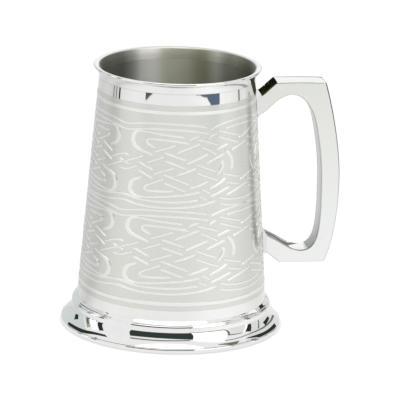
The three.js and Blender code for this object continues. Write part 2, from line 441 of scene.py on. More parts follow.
def brush_lip_inside(lip):
    """Gives the lip's inner side, below its flat rim, the brushed metal of the cup's inside, with its
    painted reflection tone.
    """
    lip.data.materials.append(brushed_lip)
    for face in lip.data.polygons:
        out_x = face.center.x - AXIS.x
        out_y = face.center.y - AXIS.y
        below_rim = math.hypot(out_x, out_y) < (LIP_R - LIP_RIM_WIDTH) * MM
        if below_rim and face.normal.x * out_x + face.normal.y * out_y < 0:
            face.material_index = 1


def build_turned():
    """Lip, base moulding, foot and the solder slope above the collar."""
    lip = lathe("lip_fine", lip_profile())
    moulding = lathe("moulding_fine", moulding_profile())
    foot = lathe("foot_fine", foot_profile())
    finish_piece(lip, polished, "polished_pewter", "lip_ring")
    brush_lip_inside(lip)
    finish_piece(moulding, polished, "polished_pewter", "base_moulding")
    finish_piece(foot, polished, "polished_pewter", "foot_ring")
    shoulder = lathe("shoulder_fine", shoulder_profile(), sharp=30)
    finish_piece(shoulder, polished, "solder", "base_solder_ring")


# ---- handle ------------------------------------------------------------------------------

# Handle's outline as [reach from the cup's axis, height]: outer runs that meet at corners, then
# the edge of the finger gap.
HANDLE_RUNS = [
    ([34.0, 110.0], [38.2, 112.8], [41.2, 114.6], [44.0, 117.2], [46.4, 119.4]),
    ([48.2, 120.1], [59.0, 120.2], [70.0, 120.0]),
    (
        [71.6, 118.6], [73.4, 112.0], [75.9, 101.2], [78.0, 89.2], [79.3, 77.3],
        [79.5, 68.0], [79.2, 59.3], [77.9, 47.2], [76.0, 38.0], [74.1, 32.3],
    ),
    ([72.0, 30.6], [62.0, 30.5], [52.6, 30.6]),
    ([50.6, 31.2], [45.0, 35.6], [39.0, 40.2]),
]
HANDLE_HOLE = [
    [38.0, 48.4], [44.6, 44.5], [50.4, 41.5], [54.8, 38.9], [57.6, 37.5], [60.8, 36.8],
    [63.9, 37.0], [66.6, 38.4], [68.6, 41.4], [69.8, 46.0], [70.6, 56.0], [70.6, 65.2],
    [70.1, 78.8], [68.4, 91.9], [65.7, 103.6], [63.6, 107.8], [61.2, 111.0], [58.2, 113.1],
    [54.8, 113.8], [51.8, 113.2], [48.6, 111.5], [45.6, 109.0], [42.6, 106.1],
    [40.4, 104.5], [38.0, 103.6], [34.0, 102.8],
]
GRIP_CENTRE = (57.0, 75.0)
HANDLE_EDGE = 0.55
HANDLE_STEP = 1.2
HOLE_STEP = 1.0
SIDE, OUTER_EDGE, GRIP, BEVEL, BEVEL_PAINTED_REFLECTION, CROOK, SLOPE = range(7)


def rounded(run_a, run_b, steps=4):
    """Short curve that joins the end of one run to the start of the next."""
    a1, a0 = np.array(run_a[-1]), np.array(run_a[-2])
    b0, b1 = np.array(run_b[0]), np.array(run_b[1])
    da = (a1 - a0) / np.linalg.norm(a1 - a0)
    db = (b0 - b1) / np.linalg.norm(b0 - b1)
    size = np.linalg.norm(b0 - a1) * 0.5
    t = np.linspace(0, 1, steps + 2)[1:-1, None]
    p, q = a1 + da * size, b0 + db * size
    return a1 * (1 - t) ** 3 + p * 3 * t * (1 - t) ** 2 + q * 3 * t**2 * (1 - t) + b0 * t**3


def handle_outline():
    """The handle's outer run and, back along the grip, its inner run."""
    outer = []
    for i, run in enumerate(HANDLE_RUNS):
        path = smooth_path(run, HANDLE_STEP)
        outer.append(path)
        if i + 1 < len(HANDLE_RUNS):
            following = smooth_path(HANDLE_RUNS[i + 1], HANDLE_STEP)
            outer.append(rounded(path, following))
    hole = smooth_path(HANDLE_HOLE, HOLE_STEP)
    return np.vstack(outer + [hole])


def handle_material(face):
    """Which of the handle's metals a face has, by where it looks. Faces in the crook, in the finger
    gap and on the far bevel get metals with painted shade and painted reflections.
    """
    if abs(face.normal.y) > 0.985:
        return SIDE
    out_x = face.center.x - AXIS.x - GRIP_CENTRE[0] * MM
    out_z = face.center.z - GRIP_CENTRE[1] * MM
    if out_x * face.normal.x + out_z * face.normal.z < 0:
        if face.normal.z > 0.9:
            return OUTER_EDGE
        return SLOPE if face.normal.z > 0.5 and face.normal.x > 0.2 else GRIP
    # Painted shade in the crook between the handle and the wall.
    if face.normal.x < -0.2 and face.normal.z > 0.2:
        return CROOK
    if abs(face.normal.y) < 0.25:
        return OUTER_EDGE
    return BEVEL_PAINTED_REFLECTION if face.normal.x > 0.15 and face.normal.z > -0.5 else BEVEL


def build_handle():
    """Flat-sided casting: the outline drawn through the handle's thickness with soft edges."""
    outline = handle_outline() * MM
    curve = bpy.data.curves.new("handle_outline", "CURVE")
    curve.dimensions = "2D"
    curve.fill_mode = "BOTH"
    edge = HANDLE_EDGE * MM
    curve.offset = -edge
    curve.bevel_depth = edge
    curve.bevel_resolution = 3
    curve.extrude = HANDLE_THICK * MM / 2 - edge
    spline = curve.splines.new("POLY")
    spline.points.add(len(outline) - 1)
    for point, (x, z) in zip(spline.points, outline):
        point.co = (x, z, 0, 1)
    spline.use_cyclic_u = True
    shape = bpy.data.objects.new("handle_shape", curve)
    bpy.context.scene.collection.objects.link(shape)
    bpy.context.view_layer.update()
    mesh = bpy.data.meshes.new_from_object(shape.evaluated_get(bpy.context.evaluated_depsgraph_get()))
    bpy.data.objects.remove(shape)
    mesh.name = "handle_fine"
    turn = Matrix.Translation((AXIS.x, AXIS.y, 0)) @ Matrix.Rotation(math.radians(90), 4, "X")
    mesh.transform(turn)
    mesh.shade_smooth()
    mesh.set_sharp_from_angle(angle=math.radians(28))
    for material in (cast, edge_polish, grip_painted_shade, edge_soft, bevel_painted_reflection, crook_painted_shade, slope_painted_reflection):
        mesh.materials.append(material)
    for face in mesh.polygons:
        face.material_index = handle_material(face)
    obj = bpy.data.objects.new("handle_fine", mesh)
    bpy.context.scene.collection.objects.link(obj)
    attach(obj, "root")
    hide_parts("handle")


# ---- interlace ---------------------------------------------------------------------------

# The pattern is drawn as ribbons, and a raised cord runs along each edge of every ribbon. The cords
# go over and under one another in turn. One repeat is a quarter of the way round, and is mirrored
# in the next quarter. Way round is in millimetres at the middle of the wall, and each point is
# (way round, height from the band's middle, half width of the ribbon).
REPEAT_LOW = -27.0
REPEAT_HIGH = 39.0
REPEAT = REPEAT_HIGH - REPEAT_LOW
BAND_MIDDLES = (88.0, 46.7)
TIP_WAY = -14.6  # the inner cord of a left-hand turn ends here
TURN_MIDDLE = 11.4  # height of a left-hand turn, up or down from the band's middle
TURN_WAY = -13.5  # and its middle round the cup
TURN_START = -10.0
TURN_TOP = 15.0
TURN_LEAN = 0.6  # weight of way round beside height, in telling a turn's inside
LINE_HALF = 0.60
LINE_RELIEF = 0.17
LINE_ROOT = -0.08  # a raised line starts this far inside the wall
LINE_END = 0.45  # share of its width that a cord keeps at its ends
RIBBON_HALF = 1.85
CORD_GAP = 1.6  # an under cord stops this far from the middle of the one above it
SEARCH_REACH = 2.0  # two samples nearer than this may belong to a crossing
TIP_SAMPLES = 30  # a cord that meets itself within so few samples only bends sharply
OVER_SPAN = np.arange(-7, 8)  # samples compared on either side of a crossing
UNDER_SPAN = np.arange(-8, 9)
FRAME_LINES = (
    ("frame_line_top", 113.1, 0.9, 0.15),
    ("frame_line_foot", 22.0, 0.9, 0.15),
)

RAIL = (
    (-27, 16.8, 1.35), (-17.3, 18.1, 1.35), (-4.1, 18.6, 1.35), (5.9, 18.2, 1.35),
    (16.2, 16.8, 1.35), (27, 13.6, 1.5), (39, 10, 1.7),
)
CLIMB = (
    (-27, -1.8, 1.85), (-21.5, 0, 1.85), (-10.4, 4.4, 1.85), (-0.4, 7.8, 1.85),
    (9.6, 11.5, 1.85), (14, 13.1, 1.8), (18.4, 15.4, 1.6), (24.6, 17.6, 1.4),
    (32, 18.8, 1.4), (39, 19.1, 1.4),
)
LOOP_HALF = (
    (39, 10, 1.7), (24, 6, 1.85), (16.5, 3.3, 1.85), (5.9, -0.8, 1.85), (-7.3, -5, 1.85),
    (-13, -7.4, 2.1), (-18.0, -9.7, 2.9), (-20.1, -12.0, 3.9), (-17.4, -13.6, 2.2),
    (-7.9, -13.6, 1.3), (5.9, -12.2, 1.3), (12.1, -10.9, 1.5), (18.4, -8.9, 1.85),
    (24.6, -5.5, 2.4), (28.4, 0, 3.1),
)


def flipped(points):
    """Ribbon points turned upside down."""
    return [(u, -z, w) for u, z, w in points]


def repeat_pieces():
    """The five open runs of one repeat."""
    loop = list(LOOP_HALF) + flipped(LOOP_HALF)[-2::-1]
    return [list(RAIL), flipped(RAIL), list(CLIMB), flipped(CLIMB), loop]


def all_pieces():
    """Runs of all four repeats, every second one mirrored."""
    out = []
    for k in range(4):
        for run in repeat_pieces():
            run = np.array(run, float)
            if k % 2:
                run[:, 0] = REPEAT_LOW + REPEAT_HIGH - run[:, 0]
            run[:, 0] += k * REPEAT
            out.append(run)
    return out


def wrapped(difference):
    """Way round from one point to another, the short way."""
    whole = 4 * REPEAT
    return (difference + whole / 2) % whole - whole / 2


def close_loops(pieces):
    """Joins runs end to end, each time to the run that carries on in the same direction."""
    left = list(range(len(pieces)))
    loops = []
    while left:
        path = pieces[left.pop(0)].copy()
        while True:
            heading = (path[-1] - path[-2])[:2]
            best = None
            for i in left:
                for run in (pieces[i], pieces[i][::-1]):
                    gap = np.array([wrapped(run[0, 0] - path[-1, 0]), run[0, 1] - path[-1, 1]])
                    if np.hypot(*gap) > 0.05:
                        continue
                    on = (run[1] - run[0])[:2]
                    score = heading @ on / np.linalg.norm(heading) / np.linalg.norm(on)
                    if best is None or score > best[0]:
                        best = (score, i, run)
            start = np.array([wrapped(path[0, 0] - path[-1, 0]), path[0, 1] - path[-1, 1]])
            if len(path) > 20 and np.hypot(*start) < 0.05:
                on = (path[1] - path[0])[:2]
                score = heading @ on / np.linalg.norm(heading) / np.linalg.norm(on)
                if best is None or score > best[0]:
                    break
            if best is None:
                break
            run = best[2].copy()
            run[:, 0] += path[-1, 0] - run[0, 0]
            path = np.vstack([path, run[1:]])
            left.remove(best[1])
        loops.append(path)
    return loops


def smooth_loop(path, step=0.8):
    """Even samples of a closed loop, whose end meets its start once round the cup or not at all."""
    turn = np.array([path[-1, 0] - path[0, 0], 0, 0])
    extended = np.vstack([path[-4:-1] - turn, path, path[1:4] + turn])
    dense = smooth_path(extended, 0.2)
    half = len(dense) // 2
    first = np.argmin(np.linalg.norm(dense[:half] - path[0], axis=1))
    last = half + np.argmin(np.linalg.norm(dense[half:] - path[-1], axis=1))
    dense = dense[first : last + 1]
    length = np.concatenate([[0], np.cumsum(np.linalg.norm(np.diff(dense[:, :2], axis=0), axis=1))])
    count = int(round(length[-1] / step))
    even = np.linspace(0, length[-1], count, endpoint=False)
    return np.stack([np.interp(even, length, dense[:, k]) for k in range(3)], -1), turn[0]


def find_crossings(cords):
    """Pairs of (cord, sample) where two cords cross."""
    starts, ends, owner = [], [], []
    for n, (pts, turn) in enumerate(cords):
        following = np.roll(pts, -1, axis=0).copy()
        following[-1, 0] += turn
        starts.append(pts[:, :2])
        ends.append(following[:, :2])
        owner += [(n, i) for i in range(len(pts))]
    a = np.vstack(starts)
    d = np.vstack(ends) - a
    found = []
    for i in range(len(a)):
        gap = a[i + 1 :] - a[i]
        gap[:, 0] = wrapped(gap[:, 0])
        near = np.nonzero(np.abs(gap).max(axis=1) < SEARCH_REACH)[0]
        if not len(near):
            continue
        other = d[i + 1 :][near]
        g = gap[near]
        det = d[i, 0] * other[:, 1] - d[i, 1] * other[:, 0]
        det = np.where(np.abs(det) < 1e-9, 1e-9, det)
        s = (g[:, 0] * other[:, 1] - g[:, 1] * other[:, 0]) / det
        t = (g[:, 0] * d[i, 1] - g[:, 1] * d[i, 0]) / det
        for k in near[(s >= 0) & (s < 1) & (t >= 0) & (t < 1)]:
            j = i + 1 + int(k)
            apart = abs(owner[i][1] - owner[j][1])
            size = len(cords[owner[i][0]][0])
            if owner[i][0] == owner[j][0] and min(apart, size - apart) < TIP_SAMPLES:
                continue
            found.append((owner[i], owner[j]))
    return found


def weave(crossings):
    """Gives each visit to a crossing over or under, in turn along every cord."""
    visits = {}
    for n, (a, b) in enumerate(crossings):
        visits.setdefault(a[0], []).append((a[1], n, 0))
        visits.setdefault(b[0], []).append((b[1], n, 1))
    beside = {}
    for cord in visits:
        order = sorted(visits[cord])
        for one, two in zip(order, order[1:] + order[:1]):
            beside.setdefault(one[1:], []).append(two[1:])
            beside.setdefault(two[1:], []).append(one[1:])
    over = {}
    for n in range(len(crossings)):
        if (n, 0) in over:
            continue
        over[(n, 0)] = False
        queue = [(n, 0)]
        while queue:
            visit = queue.pop()
            for other in [(visit[0], 1 - visit[1])] + beside.get(visit, []):
                if other not in over:
                    over[other] = not over[visit]
                    queue.append(other)
    return over


def hidden_samples(cords, crossings, over):
    """For each cord, which of its samples lie beside a cord that passes over it."""
    hidden = [np.zeros(len(line), bool) for line, _ in cords]
    for n, (a, b) in enumerate(crossings):
        low, high = (b, a) if over[(n, 0)] else (a, b)
        top = cords[high[0]][0]
        top = top[(high[1] + OVER_SPAN) % len(top)]
        under = cords[low[0]][0]
        index = (low[1] + UNDER_SPAN) % len(under)
        gap = under[index][:, None, :2] - top[None, :, :2]
        gap[..., 0] = wrapped(gap[..., 0])
        inside = np.linalg.norm(gap, axis=-1).min(axis=1) < CORD_GAP
        hidden[low[0]][index[inside]] = True
    return hidden


def in_repeat(way):
    """Way round, folded back into the first repeat."""
    within = (way - REPEAT_LOW) % (2 * REPEAT)
    return REPEAT_LOW + np.where(within > REPEAT, 2 * REPEAT - within, within)


def blunt_tip(line, centre, inner):
    """Stops the inner cord of each left-hand turn at the tip of the turn."""
    folded = in_repeat(line[:, 0])
    turning = (np.abs(centre[:, 1]) > 6.5) & (np.abs(centre[:, 1]) < TURN_TOP)
    past = inner & turning & (folded < TIP_WAY)
    side = np.where((line[:, 0] - REPEAT_LOW) % (2 * REPEAT) > REPEAT, -1.0, 1.0)
    line[past, 0] += side[past] * (TIP_WAY - folded[past])


def turn_inside(pts, offset, folded):
    """Samples whose cord is on the inside of a left-hand turn."""
    height = np.abs(pts[:, 1])
    middle = np.where(height < TURN_TOP, TURN_MIDDLE * np.sign(pts[:, 1]), 0)
    way = in_repeat(offset[:, 0])
    cord_away = np.abs(offset[:, 1] - middle) + TURN_LEAN * np.abs(way - TURN_WAY)
    ribbon_away = np.abs(pts[:, 1] - middle) + TURN_LEAN * np.abs(folded - TURN_WAY)
    turning = (folded < TURN_START) & (height > 6) & (height < TURN_TOP)
    return (cord_away < ribbon_away) & turning


def edge_lines(loops):
    """The two cords of every ribbon, each with its turn round the cup. A cord's samples are [way
    round, height, half width, 1 where the cord runs forwards and 0 where it folds back]."""
    cords = []
    for pts, turn in loops:
        following = np.roll(pts, -1, axis=0).copy()
        following[-1, 0] += turn
        before = np.roll(pts, 1, axis=0).copy()
        before[0, 0] -= turn
        along = (following - before)[:, :2]
        along /= np.linalg.norm(along, axis=1)[:, None]
        normal = np.stack([-along[:, 1], along[:, 0]], -1)
        folded = in_repeat(pts[:, 0])
        for sign in (1, -1):
            offset = pts[:, :2] + sign * normal * pts[:, 2:3]
            inner = turn_inside(pts, offset, folded)
            reach = np.where(inner, np.minimum(pts[:, 2], RIBBON_HALF), pts[:, 2])
            line = pts.copy()
            line[:, :2] += sign * normal * reach[:, None]
            blunt_tip(line, pts, inner)
            step = np.roll(line, -1, axis=0)
            step[-1, 0] += turn
            ahead = ((step - line)[:, :2] * along).sum(axis=1) > -0.05
            most = np.where(inner, 0.35, 0.95)
            half = LINE_HALF + np.minimum(np.clip(pts[:, 2] - 2.0, 0, 3) * 0.4, most)
            cords.append((np.column_stack([line[:, :2], half, ahead.astype(float)]), turn))
    return cords


def visible_runs(line, shown):
    """Stretches of a closed line that show, as lists of samples."""
    count = len(line)
    if shown.all():
        return [np.arange(count + 1) % count]
    first = int(np.nonzero(~shown)[0][0])
    runs, run = [], []
    for k in range(count):
        i = (first + k) % count
        if shown[i]:
            run.append(i)
        else:
            if len(run) > 2:
                runs.append(np.array(run))
            run = []
    if len(run) > 2:
        runs.append(np.array(run))
    return runs


def eased(values, rounds=3):
    """Softens a run of samples and keeps its ends."""
    out = values.copy()
    for _ in range(rounds):
        out[1:-1] = 0.25 * out[:-2] + 0.5 * out[1:-1] + 0.25 * out[2:]
    return out


def strip_mesh(path, half, relief):
    """Raised strip with a flat top and sloping sides along a path of [way round, z]."""
    along = np.gradient(path, axis=0)
    along /= np.linalg.norm(along, axis=1)[:, None] + 1e-9
    normal = np.stack([-along[:, 1], along[:, 0]], -1)
    slope = min(relief * 1.1, float(half.min()) * 0.6 + 0.05)
    left_side = ((-1.0, 0.0, LINE_ROOT), (-1.0, slope, relief))
    right_side = ((1.0, -slope, relief), (1.0, 0.0, LINE_ROOT))
    section = left_side + right_side
    rows = []
    for sign, inward, height in section:
        across = sign * half + inward * np.minimum(1.0, half / 0.45)
        point = path + normal * across[:, None]
        rows.append(on_wall(point[:, 0], point[:, 1], height))
    vertices = np.stack(rows, axis=1).reshape(-1, 3)
    faces = grid_faces(len(path), len(section))
    faces.append((0, 1, 2, 3))
    last = (len(path) - 1) * 4
    faces.append((last + 3, last + 2, last + 1, last))
    return vertices, faces


def on_wall(way, z, height):
    """Place on the outside of the wall, from way round and z in millimetres, raised by height."""
    azimuth = np.radians(way * 90.0 / REPEAT) - math.radians(90 + HANDLE_TURN)
    reach = (wall_outer(z) + height) * MM
    x = AXIS.x + reach * np.cos(azimuth)
    y = AXIS.y + reach * np.sin(azimuth)
    return np.stack([x, y, (z + height * WALL_TAPER) * MM], -1)


def build_interlace():
    """The raised cords of both bands, as one piece."""
    loops = [smooth_loop(path) for path in close_loops(all_pieces())]
    cords = edge_lines(loops)
    crossings = find_crossings(cords)
    over = weave(crossings)
    hidden = hidden_samples(cords, crossings, over)
    vertices, faces, count = [], [], 0
    for middle in BAND_MIDDLES:
        for (line, _), under in zip(cords, hidden):
            shown = ~under & (line[:, 3] > 0)
            for run in visible_runs(line, shown):
                path = line[run, :2].copy()
                jump = np.round(np.diff(path[:, 0]) / (4 * REPEAT)) * 4 * REPEAT
                path[1:, 0] -= np.cumsum(jump)
                path[:, 1] += middle
                path = eased(path)
                half = eased(line[run, 2])
                if len(run) <= len(line):
                    half[0] *= LINE_END
                    half[-1] *= LINE_END
                v, f = strip_mesh(path, half, LINE_RELIEF)
                vertices.append(v)
                faces += [tuple(i + count for i in face) for face in f]
                count += len(v)
    interlace = make_object("interlace_lines", np.vstack(vertices), faces, sharp=25)
    interlace.data.materials.append(raised)
    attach(interlace, "root")


def build_frame_lines():
    """Plain raised rings above and below the interlace."""
    for name, z, half, relief in FRAME_LINES:
        profile = [
            [wall_outer(z - half) - 0.1, z - half],
            [wall_outer(z - half), z - half],
            [wall_outer(z) + relief, z - half + relief * 0.7],
            [wall_outer(z) + relief, z + half - relief * 0.7],
            [wall_outer(z + half), z + half],
            [wall_outer(z + half) - 0.1, z + half],
        ]
        ring = lathe(name, profile, sharp=20)
        ring.data.materials.append(raised)
        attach(ring, "root")


# ---- stage -------------------------------------------------------------------------------

FLOOR_HALF = 6.0
FLOOR_GLOW = 0.97
# Painted contact shadow: the floor's glow is weaker in a thin ring round the foot, between these two
# reaches from the axis.
CONTACT_PAINTED_SHADOW = 0.80  # share of the glow left where the foot stands
CONTACT_INNER = 0.0530
CONTACT_OUTER = 0.0543
SKY_STRENGTH = 1.02
CARD_STEP = 2  # degrees between a card's points
CARD_CLEAR = 0.001  # cards stay this far above the floor


def build_floor():
    """White sheet that glows and is lit so brightly that it shows no cast shadow; a painted shadow, a
    thin ring of weaker glow, lies where the foot stands.
    """
    size = FLOOR_HALF
    corners = [(-size, -size, 0), (size, -size, 0), (size, size, 0), (-size, size, 0)]
    floor = make_object("floor", corners, [(0, 1, 2, 3)])
    material, nodes, links = new_material("floor_white")
    shader = nodes["Principled BSDF"]
    shader.inputs["Base Color"].default_value = (0.06, 0.06, 0.06, 1)
    shader.inputs["Roughness"].default_value = 0.9
    shader.inputs["Specular IOR Level"].default_value = 0.0
    shader.inputs["Emission Color"].default_value = (1, 1, 1, 1)
    place = nodes.new("ShaderNodeTexCoord")
    away = nodes.new("ShaderNodeVectorMath")
    away.operation = "DISTANCE"
    away.inputs[1].default_value = (AXIS.x, AXIS.y, 0)
    links.new(place.outputs["Object"], away.inputs[0])
    # Painted contact shadow: the glow drops near the foot.
    painted_contact_shadow = nodes.new("ShaderNodeMapRange")
    painted_contact_shadow.inputs["From Min"].default_value = CONTACT_INNER
    painted_contact_shadow.inputs["From Max"].default_value = CONTACT_OUTER
    painted_contact_shadow.inputs["To Min"].default_value = FLOOR_GLOW * CONTACT_PAINTED_SHADOW
    painted_contact_shadow.inputs["To Max"].default_value = FLOOR_GLOW
    links.new(away.outputs["Value"], painted_contact_shadow.inputs["Value"])
    links.new(painted_contact_shadow.outputs["Result"], shader.inputs["Emission Strength"])
    floor.data.materials.append(material)


def toward(azimuth):
    """Unit vector across the floor at an azimuth from the camera's side."""
    angle = math.radians(azimuth) - math.radians(90 + HANDLE_TURN)
    return Vector((math.cos(angle), math.sin(angle), 0))


def studio_point(azimuth, elevation, distance):
    """Place in the studio, seen from the foot of the cup."""
    flat = toward(azimuth) * distance * math.cos(math.radians(elevation))
    up = distance * math.sin(math.radians(elevation))
    return (AXIS.x + flat.x, AXIS.y + flat.y, max(up, 0.0) + CARD_CLEAR)


def stage_card(name, vertices, faces, colour, strength):
    """Self-lit mesh that shows in the metal but not to the camera."""
    obj = make_object(name, vertices, faces)
    obj.data.materials.append(glow(name + "_glow", colour, strength))
    obj.visible_camera = False


def card(name, corners, colour, strength, distance=2.4, bow=0.0):
    """Curved card round the tankard. corners are (azimuth, elevation) at its foot, low and high
    side, then at its head, high and low side. bow lifts the middle of the head."""
    foot_low, foot_high, head_high, head_low = (np.array(c, float) for c in corners)
    columns = max(3, int(abs(foot_high[0] - foot_low[0]) / CARD_STEP) + 3)
    rows = max(3, int(abs(head_high[1] - foot_low[1]) / CARD_STEP) + 3)
    vertices = []
    for v in np.linspace(0, 1, rows):
        for u in np.linspace(0, 1, columns):
            low = foot_low * (1 - v) + head_low * v
            high = foot_high * (1 - v) + head_high * v
            azimuth, elevation = low * (1 - u) + high * u
            elevation += bow * 4 * u * (1 - u) * (v if bow > 0 else 1)
            vertices.append(studio_point(azimuth, elevation, distance))
    stage_card(name, vertices, grid_faces(rows, columns, wrap_columns=False), colour, strength)


def rail(name, points, thickness, colour, strength, distance=2.3):
    """Thin card along a line of (azimuth, elevation), as thick as given at its two ends."""
    line = smooth_path(points, 2.0)
    width = np.linspace(thickness[0], thickness[1], len(line)) / 2
    vertices = [studio_point(a, e - w, distance) for (a, e), w in zip(line, width)]
    vertices += [studio_point(a, e + w, distance) for (a, e), w in zip(line, width)]
    stage_card(name, vertices, grid_faces(2, len(line), wrap_columns=False), colour, strength)


def floor_card(name, edge, outer, colour, strength):
    """Dark patch lying on the floor beyond an edge of (azimuth, distance)."""
    vertices = []
    for azimuth, reach in edge:
        for distance in (reach, outer):
            place = toward(azimuth) * distance
            vertices.append((AXIS.x + place.x, AXIS.y + place.y, CARD_CLEAR))
    stage_card(name, vertices, grid_faces(len(edge), 2, wrap_columns=False), colour, strength)


WHITE = (1.0, 1.0, 1.0)
COOL = (0.965, 0.99, 1.0)
SLATE = (0.84, 0.90, 0.90)
NIGHT = (0.040, 0.054, 0.047)
SOOT = (0.035, 0.036, 0.028)
DUSK = (0.20, 0.21, 0.18)
BEYOND_LEFT = (0.10, 0.12, 0.12)
BEYOND_RIGHT = (0.13, 0.18, 0.25)
BRONZE = (0.45, 0.45, 0.38)

# Cards: name, corners as (azimuth, elevation), colour, strength, distance, bow.
CARDS = (
    ("ceiling", ((-180, 66), (180, 66), (180, 89), (-180, 89)), WHITE, 1.95, 2.6, 0),
    ("dark_room", ((-44, 13), (23, 14), (33, 52.5), (-54, 46)), NIGHT, 1.0, 2.4, 1),
    ("window", ((24, 15), (63, 14), (83, 52), (34, 55)), WHITE, 1.6, 2.4, 3),
    ("window_jamb", ((63, 12), (66, 12), (80.5, 39), (77, 39)), DUSK, 1.0, 2.3, 0),
    ("grey_right", ((67, 0), (93, 0), (96, 31), (79, 36)), COOL, 0.93, 2.4, 0),
    ("white_right", ((93, 0), (97, 0), (100, 31), (97, 31)), WHITE, 1.4, 2.4, 0),
    ("post_right", ((97, 5), (103, 7), (109, 30), (100, 31)), SOOT, 1.0, 2.3, 0),
    ("post_right_near", ((98, 0), (101, 0), (101, 4), (98, 4)), DUSK, 1.0, 0.74, 0),
    ("bar_right", ((116, 0), (118, 0), (121, 24), (118.5, 24)), DUSK, 1.0, 2.3, 0),
    ("panel_right", ((104, 0), (160, 0), (150, 60), (112, 60)), COOL, 0.88, 2.5, 0),
    ("leaf_right", ((139, 2), (143, 5), (131, 18), (127, 13)), SOOT, 1.0, 2.3, 0),
    ("grey_left", ((-78, 0), (-47, 0), (-60, 50), (-91, 44)), COOL, 1.03, 2.4, 0),
    ("post_left", ((-88, 5), (-80, 3), (-89, 37), (-96, 37)), SOOT, 1.0, 2.3, 0),
    ("white_left", ((-101, 0), (-90, 0), (-97, 35), (-106, 35)), WHITE, 1.4, 2.35, 0),
    ("bar_left", ((-111, 0), (-103, 0), (-107, 30), (-113, 31)), BRONZE, 1.0, 2.3, 0),
    ("bar_left_dark", ((-107, 2), (-104.5, 2), (-108, 24), (-110, 24)), SOOT, 1.0, 2.25, 0),
    ("post_left_near", ((-90.5, 0), (-87.5, 0), (-87.5, 6), (-90.5, 6)), SOOT, 1.0, 0.72, 0),
    ("bar_left_near", ((-96.5, 0), (-94.5, 0), (-94.5, 6), (-96.5, 6)), DUSK, 1.0, 0.72, 0),
    ("rod_left_near", ((-102.5, 0), (-100.5, 0), (-100.5, 6), (-102.5, 6)), DUSK, 1.0, 0.72, 0),
    ("screen_left", ((-180, 0), (-114, 0), (-117, 55), (-180, 55)), SLATE, 0.88, 2.5, 0),
    ("horizon_back", ((162, 0), (180, 0), (180, 7), (162, 7)), DUSK, 1.0, 2.3, 0),
    ("white_back", ((160, 8), (188, 8), (188, 32), (160, 32)), WHITE, 1.06, 2.35, 0),
    ("knob_left", ((-133, 7), (-126, 7), (-126, 17), (-133, 17)), SOOT, 1.0, 2.3, 0),
    ("screen_back", ((150, 0), (180, 0), (180, 55), (150, 55)), SLATE, 0.93, 2.55, 0),
)

# Rails: name, line of (azimuth, elevation), thickness at both ends, colour.
RAILS = (
    ("dark_rail", ((-58, 52), (-38, 55.5), (-14, 57.6), (10, 56.8), (30, 55)), (3.5, 3.0), DUSK),
    ("window_sill", ((22, 10), (44, 9.5), (64, 8.5)), (7.0, 7.5), DUSK),
    ("grey_foot", ((79, 38), (90, 35.5), (96, 33)), (3.0, 2.0), DUSK),
    ("line_right", ((82, 50), (94, 44.5), (110, 33), (126, 22.5), (158, -3)), (1.5, 3.0), DUSK),
    ("wedge_right", ((108, 40.5), (128, 29), (147, 15)), (1.0, 9.0), SOOT),
    ("streak_right", ((79, 57.5), (90, 53.5), (102, 48.5)), (1.0, 6.0), DUSK),
    ("dash_right", ((115, 41), (123, 37)), (3.0, 5.0), SOOT),
    ("line_left", ((-140, 20), (-119, 34.5), (-104, 41), (-92, 46.5)), (4.5, 4.0), SOOT),
    ("dash_left", ((-113, 47), (-107, 46)), (4.0, 3.0), DUSK),
)

# Edges of the white floor sheet towards the camera, as (azimuth, distance).
SHEET_LEFT = (
    (-45, 1.145), (-43, 1.160), (-41, 1.186), (-39, 1.214), (-36, 1.244), (-33, 1.29),
    (-30, 1.4),
)
SHEET_RIGHT = (
    (24, 1.38), (27, 1.297), (33, 1.268), (39, 1.218), (43.5, 1.189), (46.5, 1.139),
    (48.8, 1.109), (49.2, 1.075), (63.5, 1.016),
)

# Light on the sheet round the tankard, as (azimuth, brightness).
SHEET_TONES = (
    (-180, 0.80), (-160, 0.76), (-135, 0.73), (-118, 0.80), (-100, 0.70), (-84, 0.93),
    (-60, 1.02), (-10, 1.00), (18, 1.03), (42, 1.12), (62, 1.12), (80, 1.05), (100, 0.93),
    (125, 0.90), (145, 0.92), (165, 0.79), (180, 0.78),
)
TONE_TOP = 1.2  # the ramp's white
TONE_GAIN = 1.01
TONE_HEIGHT = 0.0006
TONE_REACHES = (0.058, 0.3, 1.0, 2.2)
TONE_STEP = 4
SHEET_BEYOND = 1.5


def build_sheet_tone():
    """Uneven light on the sheet, seen only in the metal."""
    vertices = []
    for reach in TONE_REACHES:
        for azimuth in range(-180, 180, TONE_STEP):
            place = toward(azimuth) * reach
            vertices.append((AXIS.x + place.x, AXIS.y + place.y, TONE_HEIGHT))
    obj = make_object("sheet_tone", vertices, grid_faces(len(TONE_REACHES), 360 // TONE_STEP))
    material, nodes, links = new_material("sheet_tone_glow")
    nodes.remove(nodes["Principled BSDF"])
    part = turn_round(nodes, links)
    greys = [(azimuth, (tone / TONE_TOP,) * 3) for azimuth, tone in SHEET_TONES]
    ramp = tone_ramp(nodes, links, part, greys)
    emission = nodes.new("ShaderNodeEmission")
    emission.inputs["Strength"].default_value = TONE_TOP * TONE_GAIN
    links.new(ramp.outputs["Color"], emission.inputs["Color"])
    links.new(emission.outputs["Emission"], nodes["Material Output"].inputs["Surface"])
    obj.data.materials.append(material)
    obj.visible_camera = False
    obj.visible_diffuse = False
    obj.visible_shadow = False


def build_light():
    """White sky and all that the metal mirrors."""
    world = bpy.data.worlds.new("studio")
    bpy.context.scene.world = world
    world.use_nodes = True
    background = world.node_tree.nodes["Background"]
    background.inputs["Color"].default_value = (1, 1, 1, 1)
    background.inputs["Strength"].default_value = SKY_STRENGTH
    for name, corners, colour, strength, distance, bow in CARDS:
        card(name, corners, colour, strength, distance, bow)
    for name, points, thickness, colour in RAILS:
        rail(name, points, thickness, colour, 1.0)
    build_sheet_tone()
    floor_card("sheet_edge_left", SHEET_LEFT, SHEET_BEYOND, BEYOND_LEFT, 1.0)
    floor_card("sheet_edge_right", SHEET_RIGHT, SHEET_BEYOND, BEYOND_RIGHT, 1.0)


